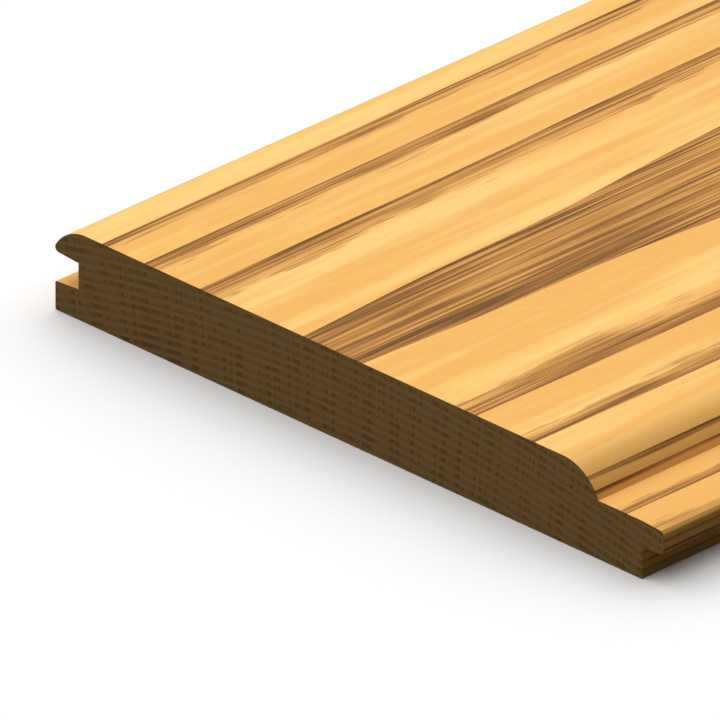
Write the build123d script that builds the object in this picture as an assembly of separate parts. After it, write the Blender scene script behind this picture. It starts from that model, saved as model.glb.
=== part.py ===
from build123d import *
import os
from math import acos, degrees, radians, sin, sqrt, tan

# A solid wood panelling board with one machined section from end to end. It lies on its back:
# X runs across the board from the groove edge to the tongue edge, Y along it and Z up to its face.
# Laid side by side, each board's tongue enters its neighbour's groove under the rounded nose, and a
# flat ledge stays in sight between the neighbour's nose and the board's own ovolo: the reveal.
# Lengths are in millimetres, angles in degrees.

# Stock
LENGTH = 1219.2  # a 4 ft length
THICKNESS = 19.05  # 3/4 in
COVER_WIDTH = 161.925  # 6 3/8 in, from one board's nose to the next one's
ARRIS_RADIUS = 0.4  # eased edge where the back meets the two board edges

# Groove edge
BACK_LIP_HEIGHT = 6.3  # top of the back lip, at the groove's mouth
GROOVE_MOUTH = 6.6  # opening between the back lip and the nose
GROOVE_DEPTH = 6.5
GROOVE_TAPER = 4.0  # slope of each groove wall, and of the tongue's
NOSE_RADIUS = 10.0  # round from the face down to the nose's tip
NOSE_TIP_RADIUS = 1.0

# Tongue edge
REVEAL_WIDTH = 12.0  # the ledge in sight between two fitted boards
OVOLO_RADIUS = 10.5  # round from the face down to the ledge
TONGUE_TIP_RADIUS = 1.0
TIP_ROUND_LIMIT = 0.45  # the most of the tongue's tip that one of its rounds takes
FACE_CLEARANCE = 0.2  # between the tongue and the nose over it
BACK_CLEARANCE = 0.65  # between the tongue and the back lip under it
END_CLEARANCE = 0.8  # between the tongue's tip and the groove's floor

# Heights and widths that follow from the sizes above, with X from the nose's outermost line
SLOPE = tan(radians(GROOVE_TAPER))
NOSE_UNDERSIDE = BACK_LIP_HEIGHT + GROOVE_MOUTH
LEDGE_HEIGHT = NOSE_UNDERSIDE - FACE_CLEARANCE
TONGUE_UNDERSIDE = BACK_LIP_HEIGHT + BACK_CLEARANCE
TONGUE_LENGTH = GROOVE_DEPTH - END_CLEARANCE
WIDTH = COVER_WIDTH + TONGUE_LENGTH
LEDGE_FOOT = COVER_WIDTH - REVEAL_WIDTH


def nose_edge():
    """The round nose, from the face down to where it meets the groove's upper wall."""
    tip_to_wall = sqrt(1 + SLOPE**2)
    tip_radius = min(NOSE_TIP_RADIUS, (THICKNESS - NOSE_UNDERSIDE) / (1 + tip_to_wall))
    tip_height = NOSE_UNDERSIDE + tip_radius * (tip_to_wall - SLOPE)
    # The tip's circle lies inside the nose's and touches it, so their centres are this far apart.
    between_centres = NOSE_RADIUS - tip_radius
    rise = tip_height - (THICKNESS - NOSE_RADIUS)
    run = sqrt(between_centres**2 - rise**2)
    nose_sweep = degrees(acos(rise / between_centres))
    nose = JernArc((tip_radius + run, THICKNESS), (-1, 0), NOSE_RADIUS, nose_sweep)
    tip = JernArc(nose @ 1, nose % 1, tip_radius, 180 - GROOVE_TAPER - nose_sweep)
    return nose, tip


def ovolo_edge():
    """The ovolo, from the face down to the ledge: a quarter round at most, then a plain riser."""
    drop = min(THICKNESS - LEDGE_HEIGHT, OVOLO_RADIUS)
    sweep = degrees(acos(1 - drop / OVOLO_RADIUS))
    start = (LEDGE_FOOT - OVOLO_RADIUS * sin(radians(sweep)), THICKNESS)
    return JernArc(start, (1, 0), OVOLO_RADIUS, -sweep)


def section():
    """The board's section as one face, with the back's groove corner at the origin."""
    nose, tip = nose_edge()
    ovolo = ovolo_edge()
    groove_rise = GROOVE_DEPTH * SLOPE
    tongue_low = TONGUE_UNDERSIDE + TONGUE_LENGTH * SLOPE
    tongue_high = LEDGE_HEIGHT - TONGUE_LENGTH * SLOPE
    tip_wall = min(tongue_high - tongue_low, TONGUE_LENGTH)
    tongue_round = min(TONGUE_TIP_RADIUS, TIP_ROUND_LIMIT * tip_wall)
    # Each corner with the radius it is rounded to, from the nose round the back to the ledge.
    corners = [
        ((GROOVE_DEPTH, NOSE_UNDERSIDE - groove_rise), 0),
        ((GROOVE_DEPTH, BACK_LIP_HEIGHT + groove_rise), 0),
        ((0, BACK_LIP_HEIGHT), ARRIS_RADIUS),
        ((0, 0), ARRIS_RADIUS),
        ((COVER_WIDTH, 0), ARRIS_RADIUS),
        ((COVER_WIDTH, TONGUE_UNDERSIDE), 0),
        ((WIDTH, tongue_low), tongue_round),
        ((WIDTH, tongue_high), tongue_round),
        ((COVER_WIDTH, LEDGE_HEIGHT), 0),
    ]
    if THICKNESS - LEDGE_HEIGHT > OVOLO_RADIUS:
        corners.append(((LEDGE_FOOT, LEDGE_HEIGHT), 0))
    points = [point for point, radius in corners]
    radii = [radius for point, radius in corners]
    profile = FilletPolyline(tip @ 1, *points, ovolo @ 1, radius=radii)
    face_line = Line(ovolo @ 0, nose @ 0)
    outline = nose + tip + profile + ovolo + face_line
    return make_face(outline)


def reveal_moulding():
    """The whole board: its section run out to the stock's length, centred on the back."""
    far_end = Plane.XZ.offset(-LENGTH / 2)
    board = extrude(far_end * Pos(-WIDTH / 2, 0) * section(), amount=LENGTH)
    board.label = "reveal_moulding"
    return board


os.makedirs("parts", exist_ok=True)
export_step(reveal_moulding(), "parts/reveal_moulding.step")
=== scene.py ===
import logging
from dataclasses import dataclass, field
from enum import Enum
from math import acos, cos, dist, pi, radians, sin, sqrt, tan

import bpy
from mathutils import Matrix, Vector


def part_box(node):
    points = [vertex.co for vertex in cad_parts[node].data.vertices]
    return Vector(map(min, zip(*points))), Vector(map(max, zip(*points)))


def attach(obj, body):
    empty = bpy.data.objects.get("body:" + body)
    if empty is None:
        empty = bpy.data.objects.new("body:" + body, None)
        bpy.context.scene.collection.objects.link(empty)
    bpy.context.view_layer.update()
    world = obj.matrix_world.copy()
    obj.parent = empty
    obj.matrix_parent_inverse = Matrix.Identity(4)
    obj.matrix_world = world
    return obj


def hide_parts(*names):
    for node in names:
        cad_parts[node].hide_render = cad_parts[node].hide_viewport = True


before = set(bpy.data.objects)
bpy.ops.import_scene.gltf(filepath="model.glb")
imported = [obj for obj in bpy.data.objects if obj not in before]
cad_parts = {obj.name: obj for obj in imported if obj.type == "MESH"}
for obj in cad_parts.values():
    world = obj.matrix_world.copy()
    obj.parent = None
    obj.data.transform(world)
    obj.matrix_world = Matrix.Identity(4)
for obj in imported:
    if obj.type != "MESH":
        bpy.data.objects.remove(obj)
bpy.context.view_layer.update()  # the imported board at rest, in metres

# A planed wood panelling board lies on its back on a white studio floor. X runs across it from the
# groove edge to the tongue edge, Y along it from the near end, and Z up to its face.

log = logging.getLogger("reveal_moulding")
MM = 0.001
BOARD_NODE = "reveal_moulding"
FLAT_MAP = "OFBake"  # the map name that a flat picture of the surface is drawn on
PHOTO_WIDTH_PX = 720

Colour = tuple[float, float, float, float]
Socket = bpy.types.NodeSocket
Feed = float | Colour | tuple[float, float, float] | Socket

WHITE: Colour = (1.0, 1.0, 1.0, 1.0)
COLOUR_MIX_INPUTS = (0, 6, 7)  # a Mix node's share and its two colours, among inputs for other data
COLOUR_MIX_OUTPUT = 2


def tone(red: int, green: int, blue: int) -> Colour:
    """A colour as a screen shows it, 0 to 255, turned to the linear values that a shader takes."""
    return (*(linear_light(part / 255) for part in (red, green, blue)), 1.0)


def linear_light(part: float) -> float:
    """One screen colour channel, 0 to 1, as linear light."""
    return part / 12.92 if part <= 0.04045 else ((part + 0.055) / 1.055) ** 2.4


class Grain(Enum):
    """The two kinds of cut surface on the board, in the order of its material slots."""

    LONG = 0
    END = 1


@dataclass(frozen=True)
class Ease:
    """A smooth step from one value to another, level before and after it."""

    start: float
    end: float
    first: float = 0.0
    last: float = 1.0


@dataclass(frozen=True)
class Figure:
    """Noise drawn out along the grain, by the size of its marks in millimetres."""

    across: float
    along: float
    deep: float
    ease: Ease  # what the noise, which lies round 0.5, is turned to
    detail: float = 1.0
    offset: float = 0.0  # sets it apart from the other figures


class Wiring:
    """Adds nodes to one tree and joins them, so that a finish reads as a list of steps."""

    def __init__(self, tree: bpy.types.NodeTree) -> None:
        """Starts on an empty tree."""
        self.tree = tree
        tree.nodes.clear()

    def node(
        self, kind: str, feeds: dict[str | int, Feed] | None = None, **settings: object
    ) -> bpy.types.Node:
        """Adds one node.

        Args:
            kind: the node's type name.
            feeds: what goes into its inputs, each a plain value or another node's output.
            settings: the node's own settings.

        Returns:
            The new node.
        """
        node = self.tree.nodes.new(kind)
        for name, value in settings.items():
            setattr(node, name, value)
        for key, value in (feeds or {}).items():
            if isinstance(value, Socket):
                self.tree.links.new(value, node.inputs[key])
            else:
                node.inputs[key].default_value = value
        return node

    def math(self, operation: str, *values: Feed, clamp: bool = False) -> Socket:
        """A Math node on one to three values."""
        feeds = dict(enumerate(values))
        return self.node("ShaderNodeMath", feeds, operation=operation, use_clamp=clamp).outputs[0]

    def total(self, *values: Feed) -> Socket:
        """Several values added up.

        Args:
            values: two values or more.

        Returns:
            Their sum.
        """
        result, *others = values
        for other in others:
            result = self.math("ADD", result, other)
        return result

    def vector(self, operation: str, *values: Feed) -> Socket:
        """A Vector Math node on two vectors."""
        return self.node("ShaderNodeVectorMath", dict(enumerate(values)), operation=operation).outputs[0]

    def span(self, value: Feed, ease: Ease) -> Socket:
        """A value put through a smooth step."""
        feeds = dict(enumerate((value, ease.start, ease.end, ease.first, ease.last)))
        return self.node("ShaderNodeMapRange", feeds, interpolation_type="SMOOTHSTEP").outputs[0]

    def blend(self, share: Feed, low: Feed, high: Feed) -> Socket:
        """A colour between two others."""
        feeds = dict(zip(COLOUR_MIX_INPUTS, (share, low, high)))
        return self.node("ShaderNodeMix", feeds, data_type="RGBA").outputs[COLOUR_MIX_OUTPUT]

    def ramp(self, value: Feed, stops: dict[float, Colour]) -> Socket:
        """A colour that runs through several others as a value goes from 0 to 1.

        Args:
            value: the value.
            stops: the other colours, by the value that each stands at.

        Returns:
            The colour.
        """
        node = self.node("ShaderNodeValToRGB", {0: value})
        points = node.color_ramp.elements
        while len(points) < len(stops):
            points.new(0.5)  # moved to its own place below
        for point, (position, colour) in zip(points, sorted(stops.items())):
            point.position = position
            point.color = colour
        return node.outputs[0]

    def figure(self, place: Socket, figure: Figure) -> Socket:
        """A figure's marks at a place.

        Args:
            place: the place in millimetres: across, along and deep.
            figure: the noise.

        Returns:
            The marks, put through the figure's smooth step.
        """
        per_mm = (1 / figure.across, 1 / figure.along, 1 / figure.deep)
        scaled = self.vector("MULTIPLY", place, per_mm)
        shifted = self.vector("ADD", scaled, (figure.offset, figure.offset, figure.offset))
        feeds = {"Vector": shifted, "Scale": 1.0, "Detail": figure.detail}
        noise = self.node("ShaderNodeTexNoise", feeds).outputs[0]
        return self.span(noise, figure.ease)

    def surface(self, kind: str, feeds: dict[str | int, Feed]) -> None:
        """Ends a material's tree with its surface shader."""
        shader = self.node(kind, feeds)
        self.node("ShaderNodeOutputMaterial", {"Surface": shader.outputs[0]})


def blank_material(name: str) -> tuple[bpy.types.Material, Wiring]:
    """Makes a new material.

    Args:
        name: the material's name.

    Returns:
        The material, and the wiring of its empty tree.
    """
    material = bpy.data.materials.new(name)
    material.use_nodes = True
    return material, Wiring(material.node_tree)


@dataclass(frozen=True)
class Sway:
    """A gentle wave in the growth rings, in millimetres."""

    reach: float
    length: float
    lead: float  # the wave's angle at its start, in radians


@dataclass(frozen=True)
class GrowthRings:
    """The tree's growth rings through the board, as one solid pattern that every surface cuts.

    The pith runs far below the board, nearly along it. Places are given round it: by arc, along the
    board, and by the ring radius, in millimetres.
    """

    ring_width: float = 1.735
    pith_depth: float = 406.0  # below the face, at the near end
    pith_across: float = 78.03  # from the nose's outermost line
    crown_width: float = 6.675  # from the pith's line to the first late edge on the face, at the near end
    depth_share: float = 0.917  # rings lie wider apart below the face, towards the pith
    rise: float = 0.001717  # the pith comes this much nearer the face for each millimetre along
    rise_gain: float = 5.96e-7  # and this much more for each square millimetre
    skew: float = -5.308e-7  # rings lie wider apart towards the tongue
    sway_across: Sway = Sway(0.03178, 60.32, -0.8)
    sways_along: tuple[Sway, ...] = (Sway(0.02844, 180.9, 5.382), Sway(0.00898, 70.4, 1.394))

    def group(self, low: Vector, high: Vector) -> bpy.types.NodeTree:
        """Builds the pattern's node group.

        Args:
            low: the board's lowest corner, in metres.
            high: its highest corner.

        Returns:
            The group, with the phase within a ring and the place round the pith.
        """
        tree = bpy.data.node_groups.new("growth_rings", "ShaderNodeTree")
        tree.interface.new_socket("Phase", in_out="OUTPUT", socket_type="NodeSocketFloat")
        tree.interface.new_socket("Place", in_out="OUTPUT", socket_type="NodeSocketVector")
        w = Wiring(tree)
        spot = w.node("ShaderNodeTexCoord").outputs["Object"]
        inward = w.vector("SUBTRACT", spot, (low.x, low.y, high.z))
        in_mm = w.vector("DIVIDE", inward, (MM, MM, MM))
        parts = w.node("ShaderNodeSeparateXYZ", {0: in_mm}).outputs
        along = parts["Y"]
        across = w.math("SUBTRACT", parts["X"], self.pith_across)
        risen = w.math("MULTIPLY", along, w.math("MULTIPLY_ADD", along, self.rise_gain, self.rise))
        level = w.math("MULTIPLY_ADD", parts["Z"], self.depth_share, self.pith_depth)
        height = w.math("SUBTRACT", level, risen)
        squares = w.math("MULTIPLY_ADD", across, across, w.math("MULTIPLY", height, height))
        radius = w.math("MULTIPLY_ADD", w.math("POWER", across, 3.0), self.skew, w.math("SQRT", squares))
        sways = [(across, self.sway_across), *((along, sway) for sway in self.sways_along)]
        for way, sway in sways:
            wave = w.math("SINE", w.math("MULTIPLY_ADD", way, 2 * pi / sway.length, sway.lead))
            radius = w.math("MULTIPLY_ADD", wave, sway.reach, radius)
        late_edge = sqrt(self.pith_depth**2 + self.crown_width**2)
        beyond = w.math("SUBTRACT", radius, late_edge)
        phase = w.math("FRACT", w.math("DIVIDE", beyond, self.ring_width))
        arc = w.math("MULTIPLY", w.math("DIVIDE", across, height), self.pith_depth)
        place = w.node("ShaderNodeCombineXYZ", {0: arc, 1: along, 2: beyond}).outputs[0]
        w.node("NodeGroupOutput", {"Phase": phase, "Place": place})
        return tree


@dataclass(frozen=True)
class LongGrainFinish:
    """Planed long grain: golden early wood with brown late-wood bands, sharp on their outer side.

    The late wood's depth of colour, from 0 to 1, builds up through each ring in three steps: a ragged
    soft side, the body and a dark outer edge. Hair lines, threads, fibres and spots then vary it. Pale
    tints and streaks vary the early wood.
    """

    gold: Colour = tone(250, 189, 104)
    pale: Colour = tone(254, 214, 131)
    late_tones: tuple[Colour, ...] = (
        tone(233, 177, 100),
        tone(213, 156, 84),
        tone(184, 127, 63),
        tone(152, 103, 50),
        tone(112, 76, 36),
    )
    tints: Figure = Figure(8.03, 228.0, 4.7, Ease(0.41, 0.71), detail=2.5, offset=482.0)
    streaks: Figure = Figure(1.8, 22.0, 5.0, Ease(0.3, 0.7, -0.2, 0.2), detail=2.0, offset=13.0)
    pale_reach: Ease = Ease(63.0, 68.5, 1.0, 0.0)  # pale wood runs out at the ovolo, by arc
    lobes: Figure = Figure(5.86, 28.6, 3.27, Ease(0.3, 0.7, -0.075, 0.065), detail=2.5, offset=1629.98)
    strokes: Figure = Figure(0.45, 10.0, 4.0, Ease(0.3, 0.7, -0.045, 0.045), offset=350.0)
    soft_side: Ease = Ease(0.638, 0.7)
    soft_depth: float = 0.385
    body: Ease = Ease(0.7, 0.86, 0.0, 0.24)
    outer_edge: Ease = Ease(0.86, 0.98, 0.0, 0.2)
    hair_lines: Figure = Figure(0.83, 77.0, 8.19, Ease(0.53, 0.61, 0.0, -0.36), detail=0.5, offset=1222.69)
    hair_share: Ease = Ease(14.0, 32.0, 1.0, 0.9)  # hair lines grow fainter away from the crown, by arc
    threads: Figure = Figure(0.4296, 51.37, 9.32, Ease(0.3, 0.7, -0.17, 0.17), detail=0.0, offset=15802.71)
    fibres: Figure = Figure(0.6545, 51.89, 8.03, Ease(0.3, 0.7, -0.12, 0.12), detail=0.0, offset=7301.916)
    spots: Figure = Figure(1.99, 24.4, 2.77, Ease(0.35, 0.65, -0.105, 0.07), detail=1.5, offset=970.45)
    tinge: Ease = Ease(0.0, 0.22)  # from the early wood's colour to the late wood's, by depth
    roughness: Ease = Ease(0.0, 1.0, 0.7, 0.6)
    specular: float = 0.05
    bump: float = 0.12
    bump_depth: float = 0.05 * MM

    def material(self, rings: bpy.types.NodeTree) -> bpy.types.Material:
        """Builds the finish on the growth rings.

        Args:
            rings: the growth rings' node group.

        Returns:
            The material.
        """
        finish, w = blank_material("planed_long_grain")
        ring = w.node("ShaderNodeGroup", node_tree=rings).outputs
        phase, place = ring["Phase"], ring["Place"]
        lobed = w.math("ADD", phase, w.figure(place, self.lobes))
        ragged = w.math("ADD", lobed, w.figure(place, self.strokes))
        late = w.span(ragged, self.soft_side)
        build_up = w.total(self.soft_depth, w.span(lobed, self.body), w.span(phase, self.outer_edge))
        marks = (w.figure(place, figure) for figure in (self.threads, self.fibres, self.spots))
        varied = w.total(build_up, *marks)
        arc = w.node("ShaderNodeSeparateXYZ", {0: place}).outputs["X"]
        hair_share = w.span(w.math("ABSOLUTE", arc), self.hair_share)
        hairs = w.math("MULTIPLY", w.figure(place, self.hair_lines), hair_share)
        lined = w.math("MULTIPLY_ADD", varied, hairs, varied)
        depth = w.math("MULTIPLY", late, lined, clamp=True)
        tinted = w.math("ADD", w.figure(place, self.tints), w.figure(place, self.streaks), clamp=True)
        paleness = w.math("MULTIPLY", tinted, w.span(arc, self.pale_reach))
        early = w.blend(paleness, self.gold, self.pale)
        stops = {step / len(self.late_tones): colour for step, colour in enumerate(self.late_tones, 1)}
        colour = w.blend(w.span(depth, self.tinge), early, w.ramp(depth, stops))
        feeds = {"Strength": self.bump, "Distance": self.bump_depth, "Height": depth}
        relief = w.node("ShaderNodeBump", feeds)
        feeds = {
            "Base Color": colour,
            "Roughness": w.span(depth, self.roughness),
            "Normal": relief.outputs[0],
            "Specular IOR Level": self.specular,
        }
        w.surface("ShaderNodeBsdfPrincipled", feeds)
        return finish


@dataclass(frozen=True)
class EndGrainFinish:
    """Sawn end grain: each ring is a light stripe, a thin dark line and a row of dashes.

    The rays set the dashes in columns.
    """

    light: Colour = tone(226, 184, 119)
    dull: Colour = tone(210, 165, 101)
    dark: Colour = tone(181, 136, 80)
    rays: Figure = Figure(1.0, 1000.0, 34.0, Ease(0.2, 0.8, -0.16, 0.16), detail=1.5, offset=71.0)
    patches: Figure = Figure(5.0, 1000.0, 2.2, Ease(0.2, 0.8, -0.11, 0.11), detail=2.0, offset=83.0)
    grit: Figure = Figure(0.35, 1000.0, 0.3, Ease(0.2, 0.8, -0.06, 0.06), offset=91.0)
    stripe: Ease = Ease(0.2, 0.38, 0.6, 0.25)  # how light the wood between the dashes is, through a ring
    speckle: float = 4.5  # how much the grit changes that
    line_start: Ease = Ease(0.42, 0.5, 0.0, 0.45)
    line_end: Ease = Ease(0.56, 0.66, 1.0, 0.0)
    row_start: Ease = Ease(0.38, 0.5)
    row_end: Ease = Ease(0.94, 1.0, 1.0, 0.0)
    dashes: Ease = Ease(-0.03, 0.085)  # by the rays, the patches and the grit together
    roughness: float = 0.85
    specular: float = 0.03
    bump: float = 0.2
    bump_depth: float = 0.06 * MM

    def material(self, rings: bpy.types.NodeTree) -> bpy.types.Material:
        """Builds the finish on the growth rings.

        Args:
            rings: the growth rings' node group.

        Returns:
            The material.
        """
        finish, w = blank_material("sawn_end_grain")
        ring = w.node("ShaderNodeGroup", node_tree=rings).outputs
        phase, place = ring["Phase"], ring["Place"]
        grit = w.figure(place, self.grit)
        ragged = w.math("ADD", phase, grit)
        row = w.math("MULTIPLY", w.span(ragged, self.row_start), w.span(phase, self.row_end))
        mass = w.total(w.figure(place, self.rays), w.figure(place, self.patches), grit)
        dash = w.math("MULTIPLY", row, w.span(mass, self.dashes))
        line = w.math("MULTIPLY", w.span(ragged, self.line_start), w.span(ragged, self.line_end))
        darkness = w.math("MAXIMUM", dash, line)
        lightness = w.math("MULTIPLY_ADD", grit, self.speckle, w.span(ragged, self.stripe), clamp=True)
        colour = w.blend(darkness, w.blend(lightness, self.dull, self.light), self.dark)
        feeds = {"Strength": self.bump, "Distance": self.bump_depth, "Height": darkness}
        relief = w.node("ShaderNodeBump", feeds, invert=True)
        feeds = {
            "Base Color": colour,
            "Roughness": self.roughness,
            "Normal": relief.outputs[0],
            "Specular IOR Level": self.specular,
        }
        w.surface("ShaderNodeBsdfPrincipled", feeds)
        return finish


class SectionPen:
    """Draws a section at one end of a board, as a chain of edges that grows from its last vertex."""

    def __init__(self, name: str, end_y: float) -> None:
        """Starts a new object at the origin, in edit mode, as one vertex on the section's plane.

        Args:
            name: the object's name.
            end_y: where the section's plane lies along the board.
        """
        bpy.ops.object.select_all(action="DESELECT")
        bpy.ops.mesh.primitive_plane_add(size=MM)
        self.board = bpy.context.object
        self.board.name = name
        self.board.data.name = name
        bpy.ops.object.mode_set(mode="EDIT")
        bpy.ops.mesh.merge(type="CENTER")
        self.end_y = end_y
        self.x = 0.0
        self.z = 0.0
        bpy.ops.transform.translate(value=(0.0, end_y, 0.0))

    def move_to(self, x: float, z: float) -> None:
        """Moves the first vertex to where the section starts."""
        bpy.ops.transform.translate(value=(x - self.x, 0.0, z - self.z))
        self.x, self.z = x, z

    def line_to(self, x: float, z: float) -> None:
        """Draws a straight run to a point.

        Args:
            x: the point, across.
            z: the point, up.
        """
        step = (x - self.x, 0.0, z - self.z)
        bpy.ops.mesh.extrude_region_move(TRANSFORM_OT_translate={"value": step})
        self.x, self.z = x, z

    def arc(self, centre_x: float, centre_z: float, turn: float, steps: int) -> None:
        """Draws an arc about a centre.

        Args:
            centre_x: the centre, across.
            centre_z: the centre, up.
            turn: the angle, from Z towards X where it is positive.
            steps: how many edges the arc has.
        """
        centre = (centre_x, self.end_y, centre_z)
        bpy.ops.mesh.spin(steps=steps, angle=turn, center=centre, axis=(0.0, -1.0, 0.0))
        across, up = self.x - centre_x, self.z - centre_z
        self.x = centre_x + across * cos(turn) + up * sin(turn)
        self.z = centre_z - across * sin(turn) + up * cos(turn)


@dataclass
class MouldedBoard:
    """The board: one section, machined from end to end, with its long grain and its two sawn ends."""

    low: Vector
    high: Vector
    back_lip: float = 6.3 * MM
    groove_mouth: float = 6.6 * MM
    groove_depth: float = 6.5 * MM
    groove_taper: float = radians(4.0)
    nose_radius: float = 10.0 * MM
    nose_tip_radius: float = 1.0 * MM
    reveal_width: float = 12.0 * MM
    ovolo_radius: float = 10.5 * MM
    tongue_tip_radius: float = 1.0 * MM
    face_clearance: float = 0.2 * MM
    back_clearance: float = 0.65 * MM
    end_clearance: float = 0.8 * MM
    arris_radius: float = 0.4 * MM
    round_steps: int = 20  # edges round the nose, and round the ovolo
    nose_tip_steps: int = 12
    tongue_tip_steps: int = 8
    arris_steps: int = 4
    face_margin: float = 2.0 * MM  # a flat strip beside each round, which keeps its shading off the face
    length_steps: int = 24
    crease: float = radians(28.0)
    weld: float = 0.001 * MM
    end_facing: float = 0.9  # an end's normal points along the board by more than this
    back_share: float = 0.5  # how wide the back is drawn on the flat map, as a share of the face
    ends_column: float = 0.94  # where the ends' column starts on the flat map
    map_gap: float = 0.01  # between the flat map's pieces
    piece: bpy.types.Object = field(init=False)

    def build(self) -> None:
        """Draws the section at the near end and runs it out to the far one."""
        pen = SectionPen("moulded_board", self.low.y)
        self.draw_section(pen)
        self.piece = pen.board
        bpy.ops.mesh.select_all(action="SELECT")
        bpy.ops.mesh.remove_doubles(threshold=self.weld)
        bpy.ops.mesh.edge_face_add()
        step = (self.high.y - self.low.y) / self.length_steps
        for _ in range(self.length_steps):
            bpy.ops.mesh.extrude_region_move(TRANSFORM_OT_translate={"value": (0.0, step, 0.0)})
        bpy.ops.mesh.select_all(action="SELECT")
        bpy.ops.mesh.normals_make_consistent(inside=False)
        bpy.ops.object.mode_set(mode="OBJECT")
        bpy.ops.object.shade_smooth_by_angle(angle=self.crease)

    def draw_section(self, pen: SectionPen) -> None:
        """Draws the whole outline, from the face round by the nose, the back and the tongue.

        Args:
            pen: what draws.
        """
        left, right, top = self.low.x, self.high.x, self.high.z
        slope = tan(self.groove_taper)
        nose_low = self.back_lip + self.groove_mouth
        ledge = nose_low - self.face_clearance
        shoulder = right - (self.groove_depth - self.end_clearance)
        # The nose: a large round, then the small round of its tip.
        tip_x = left + self.nose_tip_radius
        tip_z = nose_low + self.nose_tip_radius * (1 / cos(self.groove_taper) - slope)
        between = self.nose_radius - self.nose_tip_radius
        nose_z = top - self.nose_radius
        nose_turn = acos((tip_z - nose_z) / between)
        nose_x = tip_x + between * sin(nose_turn)
        pen.move_to(nose_x + self.face_margin, top)
        pen.line_to(nose_x, top)
        pen.arc(nose_x, nose_z, -nose_turn, self.round_steps)
        pen.arc(tip_x, tip_z, -(pi - self.groove_taper - nose_turn), self.nose_tip_steps)
        # The groove and the back lip.
        floor = left + self.groove_depth
        pen.line_to(floor, nose_low - self.groove_depth * slope)
        pen.line_to(floor, self.back_lip + self.groove_depth * slope)
        self.arris(pen, left, self.back_lip, (left, self.low.z))
        self.arris(pen, left, self.low.z, (shoulder, self.low.z))
        # The back, the shoulder and the tongue.
        under = self.back_lip + self.back_clearance
        self.arris(pen, shoulder, self.low.z, (shoulder, under))
        pen.line_to(shoulder, under)
        tongue_low = under + (right - shoulder) * slope
        tongue_high = ledge - (right - shoulder) * slope
        tip = (self.tongue_tip_radius, self.tongue_tip_steps)
        self.corner(pen, right, tongue_low, (right, tongue_high), *tip)
        self.corner(pen, right, tongue_high, (shoulder, ledge), *tip)
        pen.line_to(shoulder, ledge)
        # The ledge and the ovolo.
        foot = shoulder - self.reveal_width
        ovolo_z = top - self.ovolo_radius
        ovolo_turn = acos((ledge - ovolo_z) / self.ovolo_radius)
        ovolo_x = foot - self.ovolo_radius * sin(ovolo_turn)
        pen.line_to(foot, ledge)
        pen.arc(ovolo_x, ovolo_z, -ovolo_turn, self.round_steps)
        pen.line_to(ovolo_x - self.face_margin, top)
        pen.line_to(nose_x + self.face_margin, top)

    def arris(self, pen: SectionPen, x: float, z: float, onward: tuple[float, float]) -> None:
        """Draws a run up to a corner of the back lip or the back and eases it."""
        self.corner(pen, x, z, onward, self.arris_radius, self.arris_steps)

    def corner(
        self, pen: SectionPen, x: float, z: float, onward: tuple[float, float], radius: float, steps: int
    ) -> None:
        """Draws a run up to a corner and rounds it.

        Args:
            pen: what draws.
            x: the sharp corner, across.
            z: the sharp corner, up.
            onward: the point that the outline goes on to from the corner.
            radius: the round's radius.
            steps: how many edges the round has.
        """
        here = Vector((x, z))
        came = (Vector((pen.x, pen.z)) - here).normalized()
        goes = (Vector(onward) - here).normalized()
        opening = came.angle(goes)
        back = radius / tan(opening / 2)
        centre = here + (came + goes).normalized() * (radius / sin(opening / 2))
        pen.line_to(*(here + came * back))
        pen.arc(centre.x, centre.y, -(pi - opening), steps)

    def dress(self, finishes: dict[Grain, bpy.types.Material]) -> None:
        """Gives the long faces and the two ends their finishes.

        Args:
            finishes: the material for each kind of cut surface.
        """
        for grain in Grain:
            self.piece.data.materials.append(finishes[grain])
        for face in self.piece.data.polygons:
            face.material_index = self.grain_of(face).value

    def grain_of(self, face: bpy.types.MeshPolygon) -> Grain:
        """Tells an end from the long faces by the way it points."""
        return Grain.END if abs(face.normal.y) > self.end_facing else Grain.LONG

    def unwrap(self) -> None:
        """Lays the surface out flat: round the section by along the board, with the two ends beside it."""
        mesh = self.piece.data
        mesh.uv_layers.new(name=FLAT_MAP)
        flat = mesh.uv_layers[FLAT_MAP].data
        size = self.high - self.low
        near_end = next(face for face in mesh.polygons if face.normal.y < -self.end_facing)
        outline = [self.section_spot(mesh.vertices[number].co) for number in near_end.vertices]
        order = {spot: number for number, spot in enumerate(outline)}
        rounds = self.girth(outline)
        ends_width = 1.0 - self.ends_column
        ends_height = (1.0 - self.map_gap) / 2
        for face in mesh.polygons:
            corners = [mesh.vertices[number].co for number in face.vertices]
            numbers = [order[self.section_spot(corner)] for corner in corners]
            closes = max(numbers) - min(numbers) > 1  # the run from the outline's last point to its first
            for loop, corner, number in zip(face.loop_indices, corners, numbers):
                part = corner - self.low
                if self.grain_of(face) is Grain.END:
                    foot = 0.0 if face.normal.y < 0 else ends_height + self.map_gap
                    across = self.ends_column + part.z / size.z * ends_width
                    flat[loop].uv = (across, foot + part.x / size.x * ends_height)
                else:
                    turn = rounds[len(outline) if closes and number == 0 else number]
                    flat[loop].uv = (turn * (self.ends_column - self.map_gap), part.y / size.y)

    def part_ends(self) -> None:
        """Parts the two ends into even triangles, so that no exported face is a sliver."""
        bpy.ops.object.select_all(action="DESELECT")
        self.piece.select_set(True)
        bpy.context.view_layer.objects.active = self.piece
        self.piece.active_material_index = Grain.END.value
        bpy.ops.object.mode_set(mode="EDIT")
        bpy.ops.mesh.select_all(action="DESELECT")
        bpy.ops.object.material_slot_select()
        bpy.ops.mesh.quads_convert_to_tris(ngon_method="BEAUTY")
        bpy.ops.object.mode_set(mode="OBJECT")

    def section_spot(self, point: Vector) -> tuple[int, int]:
        """A point's place on the section, in whole steps of the weld, so that it can be looked up."""
        return round(point.x / self.weld), round(point.z / self.weld)

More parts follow.
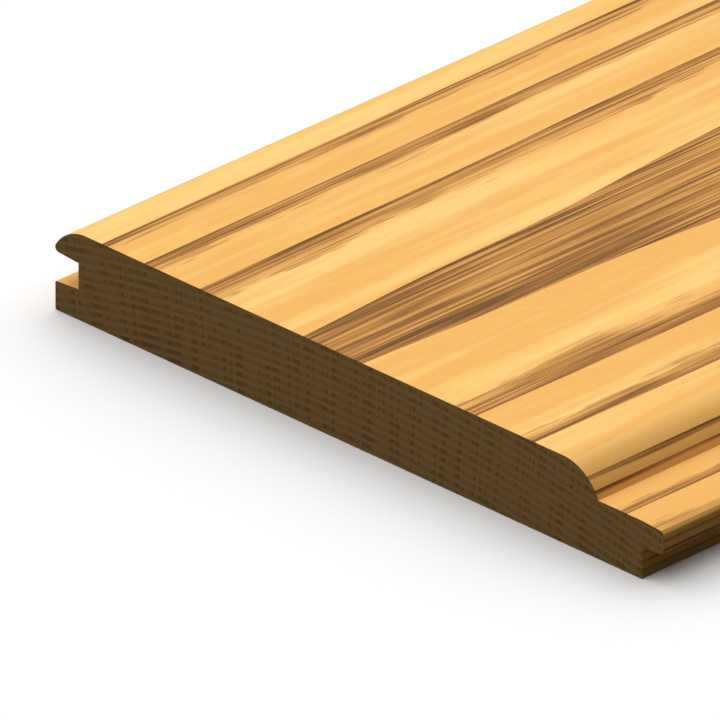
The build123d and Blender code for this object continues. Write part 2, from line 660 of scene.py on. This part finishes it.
    def girth(self, outline: list[tuple[int, int]]) -> list[float]:
        """How far round the section each of its points lies.

        Args:
            outline: the section's points in order.

        Returns:
            Each point's share of the way round, and 1 for the first point met again.
        """
        back = round(self.low.z / self.weld)
        reached = [0.0]
        for here, onward in zip(outline, outline[1:] + outline[:1]):
            share = self.back_share if here[1] == onward[1] == back else 1.0
            reached.append(reached[-1] + dist(here, onward) * share)
        return [length / reached[-1] for length in reached]


@dataclass(frozen=True)
class SoftLamp:
    """A broad soft lamp, far off, that lights one thing."""

    name: str
    azimuth: float  # from the camera's own side, so that half a turn is straight behind the board
    elevation: float
    spread: float
    level: float  # how much light it throws on a level surface


@dataclass(frozen=True)
class Studio:
    """A white floor, soft lamps from above and behind, and a camera at the photograph's angle."""

    azimuth: float = radians(45.14)
    elevation: float = radians(27.12)
    lens_mm: float = 1680.0
    sensor_mm: float = 36.0
    px_per_mm: float = 5.099
    corner_px: tuple[float, float] = (55.47, 309.13)  # the near end's lower groove corner in the photograph
    clip_end: float = 100.0
    floor_size: float = 60.0
    floor_drop: float = 0.02 * MM  # under the board, so that the two don't share a plane
    floor_bounce: float = 0.1  # how much of its light the floor throws back on the board
    board_lamp: SoftLamp = SoftLamp("board_light", radians(192.0), radians(60.0), radians(85.0), 0.93)
    floor_lamp: SoftLamp = SoftLamp("floor_light", radians(190.0), radians(72.0), radians(120.0), 0.97)
    sky_level: float = 0.05

    def build(self, board: MouldedBoard) -> None:
        """Builds the floor, the lamps, the world and the camera round a board.

        Args:
            board: the finished board.
        """
        self.hang(self.board_lamp, board.piece)
        self.hang(self.floor_lamp, self.lay_floor())
        self.paint_world()
        self.place_camera(board.low)

    def lay_floor(self) -> bpy.types.Object:
        """Lays the floor: white to the eye, and dull to light that it would throw back on the board.

        Returns:
            The floor.
        """
        bpy.ops.object.select_all(action="DESELECT")
        bpy.ops.mesh.primitive_plane_add(size=self.floor_size, location=(0.0, 0.0, -self.floor_drop))
        floor = bpy.context.object
        floor.name = "studio_floor"
        paint, w = blank_material("studio_white")
        dull = (self.floor_bounce, self.floor_bounce, self.floor_bounce, 1.0)
        colour = w.blend(self.seen(w), dull, WHITE)
        w.surface("ShaderNodeBsdfDiffuse", {"Color": colour})
        floor.data.materials.append(paint)
        return floor

    def seen(self, w: Wiring) -> Socket:
        """A mask of the rays that show the background: the camera's, and those sent on by gloss or glass.

        Args:
            w: the wiring of the tree that the mask is for.

        Returns:
            The mask, 1 for those rays and 0 for the others.
        """
        path = w.node("ShaderNodeLightPath").outputs
        mirrored = w.math("MAXIMUM", path["Is Glossy Ray"], path["Is Transmission Ray"])
        return w.math("MAXIMUM", path["Is Camera Ray"], mirrored)

    def hang(self, lamp: SoftLamp, lit: bpy.types.Object) -> None:
        """Hangs a soft lamp.

        Args:
            lamp: where it hangs and how it shines.
            lit: the one thing that it lights. Everything else only throws a shadow.
        """
        sun = bpy.data.lights.new(lamp.name, "SUN")
        sun.angle = lamp.spread
        sun.energy = lamp.level * pi / sin(lamp.elevation)
        light = bpy.data.objects.new(lamp.name, sun)
        bpy.context.scene.collection.objects.link(light)
        source = self.direction(self.azimuth + lamp.azimuth, lamp.elevation)
        light.rotation_euler = source.to_track_quat("Z", "Y").to_euler()
        things = bpy.data.collections.new(f"{lamp.name}_lights")
        things.objects.link(lit)
        light.light_linking.receiver_collection = things

    def direction(self, azimuth: float, elevation: float) -> Vector:
        """The way from the board to something seen at an azimuth, from the near end, and an elevation."""
        level = cos(elevation)
        return Vector((sin(azimuth) * level, -cos(azimuth) * level, sin(elevation)))

    def paint_world(self) -> None:
        """Makes the surroundings white to the eye and a low even fill to the board."""
        world = bpy.data.worlds.new("studio_world")
        bpy.context.scene.world = world
        world.use_nodes = True
        w = Wiring(world.node_tree)
        strength = w.span(self.seen(w), Ease(0.0, 1.0, self.sky_level, 1.0))
        backdrop = w.node("ShaderNodeBackground", {"Color": WHITE, "Strength": strength})
        w.node("ShaderNodeOutputWorld", {"Surface": backdrop.outputs[0]})

    def place_camera(self, corner: Vector) -> None:
        """Places the camera so that the near corner falls where the photograph has it.

        Args:
            corner: the near end's lower groove corner.
        """
        back = self.direction(self.azimuth, self.elevation)
        right = Vector((cos(self.azimuth), sin(self.azimuth), 0.0))
        up = back.cross(right)
        half = PHOTO_WIDTH_PX / 2
        to_right = (half - self.corner_px[0]) / self.px_per_mm * MM
        to_up = (self.corner_px[1] - half) / self.px_per_mm * MM
        target = corner + right * to_right + up * to_up
        width = PHOTO_WIDTH_PX / self.px_per_mm * MM
        distance = width * self.lens_mm / self.sensor_mm
        view = bpy.data.cameras.new("photo_view")
        view.lens = self.lens_mm
        view.sensor_width = self.sensor_mm
        view.clip_end = self.clip_end
        camera = bpy.data.objects.new("photo_view", view)
        bpy.context.scene.collection.objects.link(camera)
        camera.location = target + back * distance
        camera.rotation_euler = back.to_track_quat("Z", "Y").to_euler()
        bpy.context.scene.camera = camera


def main() -> None:
    """Builds the board, dresses it and sets the studio round it."""
    logging.basicConfig(level=logging.INFO, format="%(name)s: %(message)s")
    bpy.context.scene.view_settings.view_transform = "Standard"
    low, high = (Vector(corner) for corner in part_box(BOARD_NODE))
    board = MouldedBoard(low, high)
    board.build()
    rings = GrowthRings().group(low, high)
    board.dress({Grain.LONG: LongGrainFinish().material(rings), Grain.END: EndGrainFinish().material(rings)})
    board.unwrap()
    board.part_ends()
    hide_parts(BOARD_NODE)
    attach(board.piece, "root")
    log.info("%s: %d faces", board.piece.name, len(board.piece.data.polygons))
    Studio().build(board)


if __name__ == "__main__":
    main()
